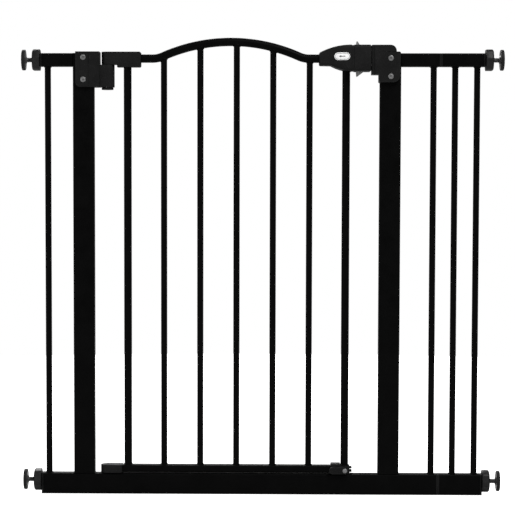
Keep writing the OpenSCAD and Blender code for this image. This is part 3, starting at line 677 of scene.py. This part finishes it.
def handle_body(inset, corner, end, banded):
    """The handle's solid, drawn in by inset, with its ends rounded by end and, if banded, the sunk band."""
    x0, x1 = HANDLE_X[0] + inset, HANDLE_X[1] - inset
    stations = []
    for i in range(5):
        a = math.radians(90 * i / 4)
        along, inwards = end * (1 - math.cos(a)), end * (1 - math.sin(a))
        stations += [(x0 + along, inset + inwards), (x1 - along, inset + inwards)]
    x = x0 + end + HANDLE_STEP
    while x < x1 - end - END_CLEAR:
        if banded and BAND_X[0] - BAND_CLEAR < x < BAND_X[1] + BAND_CLEAR:
            x += 0.5
            continue
        stations.append((x, inset))
        x += HANDLE_STEP
    if banded:
        stations += [
            (BAND_X[0] - 0.35, inset), (BAND_X[0], inset + 0.25), (BAND_X[0] + 0.1, inset + BAND_DEPTH),
            (BAND_X[1] - 0.1, inset + BAND_DEPTH), (BAND_X[1], inset + 0.25), (BAND_X[1] + 0.35, inset),
        ]
    bm = bmesh.new()
    loft(bm, [handle_ring(x, d, max(corner - d * 0.6, 1.0)) for x, d in sorted(stations)])
    return bm


def handle_shell(node, y_cut_away):
    """One hollow half of the handle, with openings for the fins, the tongues, the tube and the upright."""
    button_low, button_high = node_box("release_button")
    bolt_low, bolt_high = node_box("latch_bolt")
    stile_low, stile_high = node_box("door_latch_stile")
    stile_x = (stile_low.x + stile_high.x) / 2
    stile_r = (stile_high.x - stile_low.x) / 2
    half_fin = button_high.y + SLIDE_FIT
    slot_x0 = button_low.x - RELEASE_TRAVEL - SLIDE_FIT
    left, right = HANDLE_X[0] - REACH, HANDLE_X[1] + REACH
    under, over = HANDLE_Z[0] - REACH, HANDLE_Z[1] + REACH

    obj = finish_piece(f"{node}_moulded", handle_body(0.0, 5.5, 2.2, True), node)
    cut(obj, handle_body(HANDLE_WALL, 3.5, 0.5, False))
    cut(obj, block((left, y_cut_away[0], under), (right, y_cut_away[1], over)))
    cut(obj, block((slot_x0, -half_fin, HANDLE_Z[1] - 5), (bolt_low.x + SLIDE_FIT, half_fin, over)))
    cut(obj, block((slot_x0, -half_fin, under), (button_high.x + SLIDE_FIT, half_fin, HANDLE_Z[0] + 5)))
    for z0, z1 in ((bolt_low.z, TONGUE_GAP_Z[0]), (TONGUE_GAP_Z[1], bolt_high.z)):
        cut(obj, block((HANDLE_X[1] - 4, bolt_low.y - SLIDE_FIT, z0 - SLIDE_FIT),
                       (right, bolt_high.y + SLIDE_FIT, z1 + SLIDE_FIT)))
    cut(obj, rod((left, 0, STRAIGHT_Z), (1, 0, 0), TUBE_R + TUBE_FIT, REACH + 5))
    cut(obj, rod((stile_x, 0, under), (0, 0, 1), stile_r + TUBE_FIT, REACH + 10))
    return obj


def handle_pieces():
    front = handle_shell("handle_front", (-SEAM, 30.0))
    rear = handle_shell("handle_rear", (-30.0, SEAM))
    for low, high in islands("door_shell_screws"):
        if low.x > HANDLE_X[0]:
            x, z = (low.x + high.x) / 2, (low.z + high.z) / 2
            cut(rear, rod((x, handle_half(x) - SCREW_SINK_DEPTH, z), (0, 1, 0), SCREW_SINK_R, 6.0))
    set_smooth(front)
    set_smooth(rear)


# ---------- Bolt spring ----------

SPRING_WIRE_R = 0.45
SPRING_TURNS = 8
SPRING_STEPS = 18
SPRING_CLOSED_TURNS = 0.75
SPRING_OPENING = 2.2


def ease(u):
    """Smooth step from 0 to 1."""
    u = min(1.0, max(0.0, u))
    return u * u * (3 - 2 * u)


def bolt_spring_piece():
    """A compression spring with closed end turns."""
    low, high = node_box("bolt_spring")
    z = (low.z + high.z) / 2
    coil_r = (high.z - low.z) / 2 - SPRING_WIRE_R
    length = high.x - low.x - 2 * SPRING_WIRE_R
    pitches = [0.0]
    for k in range(SPRING_TURNS * SPRING_STEPS):
        u = (k + 0.5) / SPRING_STEPS
        left, right = u - SPRING_CLOSED_TURNS, SPRING_TURNS - u - SPRING_CLOSED_TURNS
        pitches.append(2 * SPRING_WIRE_R + SPRING_OPENING * ease(2 * left) * ease(2 * right))
    total = sum(pitches)
    at = low.x + SPRING_WIRE_R
    rings = []
    for k, pitch in enumerate(pitches):
        at += length * pitch / total
        a = math.tau * k / SPRING_STEPS
        out = Vector((0.0, math.cos(a), math.sin(a)))
        centre = Vector((at, 0.0, z)) + coil_r * out
        rings.append(circle_ring(centre, (1.0, 0.0, 0.0), out, SPRING_WIRE_R, 8))
    bm = bmesh.new()
    loft(bm, rings)
    obj = finish_piece("bolt_spring_wound", bm, "bolt_spring", angle=60)
    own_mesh(obj)


# ---------- Badge ----------

BADGE_T = 0.6
BADGE_SINK = 0.05
RIM_INSET = 1.3
RIM_HALF_WIDTH = 0.28
RIM_HEIGHT = 0.14
MARK_HEIGHT = 0.16


def badge_front(x, z, lift):
    """A point over the badge's face, which follows the handle."""
    return Vector((x, -(handle_half(x) + BADGE_T + lift), z))


def badge_prism(bm, points):
    loft(bm, [[badge_front(x, z, lift) for x, z in points] for lift in (-BADGE_SINK, MARK_HEIGHT)])


def badge_pieces():
    """A plain oval plate with a rim, and a generic slide arrow that points the way the button moves."""
    soft_piece("badge", 0.25, segments=2)
    low, high = node_box("badge")
    x, z = (low.x + high.x) / 2, (low.z + high.z) / 2
    length = (high.x - low.x) - (high.z - low.z)
    r = (high.z - low.z) / 2 - RIM_INSET
    path = []
    for side in (1, -1):
        for i in range(25):
            a = math.radians(180 * i / 24 - 90 * side)
            path.append((x + side * length / 2 + r * math.cos(a), z + r * math.sin(a)))
        path += [(x + side * length * (0.5 - i / 10), z + side * r) for i in range(1, 10)]

    bm = bmesh.new()
    rings = []
    for k, (px, pz) in enumerate(path):
        before, after = Vector(path[k - 1]), Vector(path[(k + 1) % len(path)])
        t = (after - before).normalized()
        n = Vector((-t.y, t.x)) * RIM_HALF_WIDTH
        rings.append([
            badge_front(px + n.x, pz + n.y, -BADGE_SINK), badge_front(px + n.x, pz + n.y, RIM_HEIGHT),
            badge_front(px - n.x, pz - n.y, RIM_HEIGHT), badge_front(px - n.x, pz - n.y, -BADGE_SINK),
        ])
    loft(bm, rings, loop=True)
    for k in range(4):
        x0, x1 = x - 1.6 + 1.7 * k, x + 0.1 + 1.7 * k
        badge_prism(bm, [(x0, z - 0.55), (x1, z - 0.55), (x1, z + 0.55), (x0, z + 0.55)])
    badge_prism(bm, [(x - 5.4, z), (x - 1.8, z - 2.1), (x - 1.8, z + 2.1)])
    finish_piece("badge_arrow", bm, body=BODY_OF["badge"], slot="badge_plate", look="badge_mark")


# ---------- Screws, rivet and lever ----------

LARGE_HEAD_R = 4.0
GRIP_PITCH = 1.75
GRIP_ROW = 0.866
GRIP_EDGE = 1.6
GRIP_START = 1.7
GRIP_LENGTH = 20.5
GRIP_COLUMNS = 14


def cross_recess(at, inwards, reach, width, depth, turn):
    """Cutters for a cross recess: two tapered slots, turned about Y."""
    cutters = []
    for k in range(2):
        bm = bmesh.new()
        a = math.radians(turn + 90 * k)
        across = Vector((math.cos(a), 0, math.sin(a)))
        along = Vector((-math.sin(a), 0, math.cos(a)))
        rings = []
        for d, scale in ((-1.0, 1.15), (depth, 0.45)):
            c = Vector(at) + Vector((0, inwards * d, 0))
            w, r = width / 2 * (0.7 + 0.3 * scale), reach * scale
            rings.append([c + across * w + along * r, c - across * w + along * r,
                          c - across * w - along * r, c + across * w - along * r])
        loft(bm, rings)
        cutters.append(bm)
    return cutters


def screw_pieces(node, dome_height, side):
    """Pan heads with a cross recess, one piece for the node; side is -1 where the heads face the front."""
    rng = random.Random(len(node))
    bm = bmesh.new()
    heads = []
    for low, high in islands(node):
        mid = (low + high) / 2
        radius = (high.x - low.x) / 2
        face = low.y if side < 0 else high.y
        length = high.y - low.y
        shank_r, head_t = (2.0, 1.6) if radius > LARGE_HEAD_R else (1.5, 1.0)
        profile = [(0.0, 0.01)] + dome(dome_height, radius * 0.93, range(15, 91, 15))
        profile += [(dome_height + 0.25, radius), (head_t, radius), (head_t, shank_r), (length, shank_r)]
        turned(bm, (mid.x, face, mid.z), (0, -side, 0), profile, 40)
        heads.append(((mid.x, face, mid.z), radius, rng.uniform(0, 90)))
    obj = finish_piece(f"{node}_turned", bm, node)
    for at, radius, turn in heads:
        for cutter in cross_recess(at, -side, radius * 0.5, radius * 0.2, min(1.1, radius * 0.25), turn):
            cut(obj, cutter)
    set_smooth(obj, 28)


def rivet_piece():
    low, high = node_box("stop_rivet")
    mid = (low + high) / 2
    radius = (high.x - low.x) / 2
    profile = [(0.0, 0.01)] + dome(1.5, radius, range(10, 91, 10))
    profile += [(1.8, radius), (1.8, 2.0), (29.2, 2.0), (29.2, 3.0), (29.7, 2.9), (30.2, 2.2), (30.2, 0.01)]
    bm = bmesh.new()
    turned(bm, (mid.x, low.y, mid.z), (0, 1, 0), profile, 40)
    finish_piece("stop_rivet_turned", bm, "stop_rivet")


def lever_pieces():
    """The stop lever, with a honeycomb grip on its left two thirds."""
    soft_piece("stop_lever", 0.9)
    low, high = node_box("stop_lever")
    mid_z = (low.z + high.z) / 2
    radius = (high.z - low.z) / 2 - GRIP_EDGE
    stud = [(0.0, 0.72), (0.32, 0.66), (0.42, 0.5), (0.42, 0.01)]
    bm = bmesh.new()
    rows = int(radius / (GRIP_PITCH * GRIP_ROW)) + 1
    for j in range(-rows, rows + 1):
        for i in range(GRIP_COLUMNS):
            x = low.x + GRIP_START + GRIP_PITCH * (i + 0.5 * (j % 2))
            z = mid_z + j * GRIP_PITCH * GRIP_ROW
            edge = math.hypot(min(0.0, x - low.x - radius - GRIP_EDGE), z - mid_z)
            if x <= low.x + GRIP_LENGTH and edge <= radius:
                turned(bm, (x, low.y + 0.1, z), (0, -1, 0), stud, 6)
    finish_piece("stop_lever_grip", bm, body=BODY_OF["stop_lever"], slot="housing_plastic", angle=40)


# ---------- Wall mounts ----------

ROD_R = 4.0
ROD_END_R = 3.3
ROD_NECK_R = 3.9
ROD_SIDES = 24
THREAD_PITCH = 1.25
THREAD_DEPTH = 0.62
THREAD_STEPS = 8
THREAD_FADE = 1.2
THREAD_STOP = 0.3
DISC_T = 3.0
HUB_T = 2.2
NUT_SIDES = 144
NUT_FLAT = 17.5
NUT_CORNER = 18.5


def thread_ring(x, start, side, z):
    """The rod's section at x: a trapezoidal thread that fades in from its end at start."""
    fade = min(1.0, (x - start) / THREAD_FADE)
    ring = []
    for k in range(ROD_SIDES):
        phase = (x / THREAD_PITCH + k / ROD_SIDES) % 1.0
        height = 1 - abs(2 * phase - 1)
        crest = min(1.0, max(0.0, (height - 0.12) / 0.76))
        r = ROD_R - THREAD_DEPTH * (1 - crest)
        r = r * fade + ROD_END_R * (1 - fade)
        a = math.tau * k / ROD_SIDES
        ring.append(Vector((side * x, r * math.cos(a), z + r * math.sin(a))))
    return ring


def spindle_piece(key, side):
    """A threaded rod, and the disc with its stiffening hub; side is -1 on the left."""
    node = f"spindle_{key}"
    low, high = node_box(node)
    z = (low.z + high.z) / 2
    disc_r = (high.z - low.z) / 2
    outer = max(abs(low.x), abs(high.x))
    inner = min(abs(low.x), abs(high.x))
    hub_x = outer - DISC_T - HUB_T
    step = THREAD_PITCH / THREAD_STEPS
    count = int((hub_x - THREAD_STOP - inner) / step)
    rings = [thread_ring(inner + i * step, inner, side, z) for i in range(count + 1)]
    rings.append([
        Vector((side * hub_x, ROD_NECK_R * math.cos(a), z + ROD_NECK_R * math.sin(a)))
        for a in (math.tau * k / ROD_SIDES for k in range(ROD_SIDES))
    ])
    bm = bmesh.new()
    loft(bm, rings)
    turned(bm, (side * hub_x, 0, z), (side, 0, 0), [
        (0.0, 3.8), (0.1, 5.2), (0.6, 6.2), (2.0, 7.2), (2.4, 8.2), (2.45, disc_r - 2.8),
        (2.2, disc_r - 2.2), (2.2, disc_r - 0.5), (2.5, disc_r - 0.1), (5.2, disc_r - 0.1),
    ], 64)
    finish_piece(f"{node}_threaded", bm, node, angle=35)


def pad_piece(key, side):
    """A rubber cup: a lip round the disc, and ridges on the face that grips the wall."""
    node = f"pad_{key}"
    low, high = node_box(node)
    z = (low.z + high.z) / 2
    r = (high.z - low.z) / 2
    inner = min(abs(low.x), abs(high.x))
    t = high.x - low.x
    profile = [
        (3.02, 0.01), (3.02, 14.9), (0.9, 14.95), (0.25, 14.9), (0.02, 15.2), (0.0, 15.6),
        (0.1, r - 0.7), (0.45, r - 0.25), (1.0, r), (t - 1.4, r), (t - 0.7, r - 0.25), (t - 0.2, r - 0.8),
        (t - 0.02, r - 1.6),
    ]
    for ridge in (13.4, 10.4, 7.4, 4.4):
        profile += [(t, ridge + 0.6), (t - 0.7, ridge + 0.3), (t - 0.7, ridge - 0.3), (t, ridge - 0.6)]
    profile.append((t, 0.01))
    bm = bmesh.new()
    turned(bm, (side * inner, 0, z), (side, 0, 0), profile, 72)
    finish_piece(f"{node}_moulded", bm, node, angle=40)


def nut_piece(key, side, turn):
    """A six sided hand nut: chamfered corners and faces, and a hub round the rod."""
    node = f"hand_nut_{key}"
    low, high = node_box(node)
    z = (low.z + high.z) / 2
    x0 = min(abs(low.x), abs(high.x))
    x1 = x0 + high.x - low.x

    def ring(x, radius):
        return [Vector((side * x, radius(a) * math.cos(a), z + radius(a) * math.sin(a)))
                for a in (math.tau * k / NUT_SIDES for k in range(NUT_SIDES))]

    def six(x, size):
        def radius(a):
            local = (a - math.radians(turn)) % (math.pi / 3) - math.pi / 6
            return min(NUT_FLAT / math.cos(local), NUT_CORNER) * size
        return ring(x, radius)

    def circle(x, r):
        return ring(x, lambda a: r)

    bm = bmesh.new()
    loft(bm, [
        circle(x0, 4.15), circle(x0, 12.0), six(x0, 0.97), six(x0 + 0.12, 0.985), six(x0 + 0.4, 0.997),
        six(x0 + 0.7, 1.0), six(x1 - 2.3, 1.0), six(x1 - 2.0, 0.994), six(x1 - 1.6, 0.978),
        six(x1 - 0.4, 0.91), six(x1 - 0.1, 0.885), six(x1, 0.86), circle(x1, 14.6), circle(x1 - 0.1, 14.0),
        circle(x1 - 1.6, 13.2), circle(x1 - 1.8, 12.8), circle(x1 - 1.8, 8.4), circle(x1 - 1.5, 7.8),
        circle(x1 - 0.4, 7.4), circle(x1, 7.0), circle(x1, 5.0), circle(x1 - 0.6, 4.15),
    ], loop=True)
    finish_piece(f"{node}_moulded", bm, node, angle=24)


# ---------- The whole gate ----------

def add_frame():
    for node in ("bottom_rail", "left_post", "right_post", "left_top_rail", "right_top_rail",
                 "extension_top_rail", "extension_bottom_rail", "door_bottom_rail"):
        rail_piece(node)
    bars = ["left_outer_bar", "right_outer_bar", "extension_inner_bar", "extension_outer_bar"]
    for node in bars:
        bar_piece(node, under_tube=False)
    low_rail_top, high_rail_under = node_box("bottom_rail")[1].z, node_box("left_top_rail")[0].z
    bar_welds("frame_weld_beads", bars, "frame", low_rail_top, high_rail_under)
    soft_piece("frame_end_plugs", 0.5, segments=2)
    soft_piece("extension_end_plugs", 0.5, segments=2)


def add_door():
    top_tube_piece()
    bars = [f"door_bar_{i}" for i in range(1, 6)]
    stiles = ["door_hinge_stile", "door_latch_stile"]
    for node in bars + stiles:
        bar_piece(node, under_tube=True)
    rail_top = node_box("door_bottom_rail")[1].z
    bar_welds("door_weld_beads", bars, "door", rail_top, arch=True)
    bar_welds("stile_weld_beads", stiles, "door", rail_top)


def add_housings():
    bracket_and_strike_pieces()
    soft_piece("hinge_arm_front", 1.2)
    soft_piece("hinge_arm_rear", 1.2)
    soft_piece("lower_hinge_block", 1.0)
    soft_piece("pin_retainer", 0.6)
    soft_piece("stop_mount", 0.6)
    soft_piece("release_button", 0.5)
    soft_piece("latch_bolt", 0.35)
    handle_pieces()
    bolt_spring_piece()
    badge_pieces()
    screw_pieces("housing_screws", 0.75, -1)
    screw_pieces("door_shell_screws", 0.3, 1)
    rivet_piece()
    lever_pieces()


def add_mounts():
    for key, side, turn in (("tl", -1, 0.0), ("bl", -1, 12.0), ("tr", 1, 0.0), ("br", 1, 12.0)):
        spindle_piece(key, side)
        pad_piece(key, side)
        nut_piece(key, side, turn)


def finish_cad_nodes():
    """The CAD nodes that keep their own shape take the same finishes."""
    for node, obj in NODES.items():
        obj.data.materials.clear()
        obj.data.materials.append(MATERIALS[SLOT_OF[node]])


set_view()
add_camera()
add_world()
add_floor()
add_lights()
add_frame()
add_door()
add_housings()
add_mounts()
finish_cad_nodes()
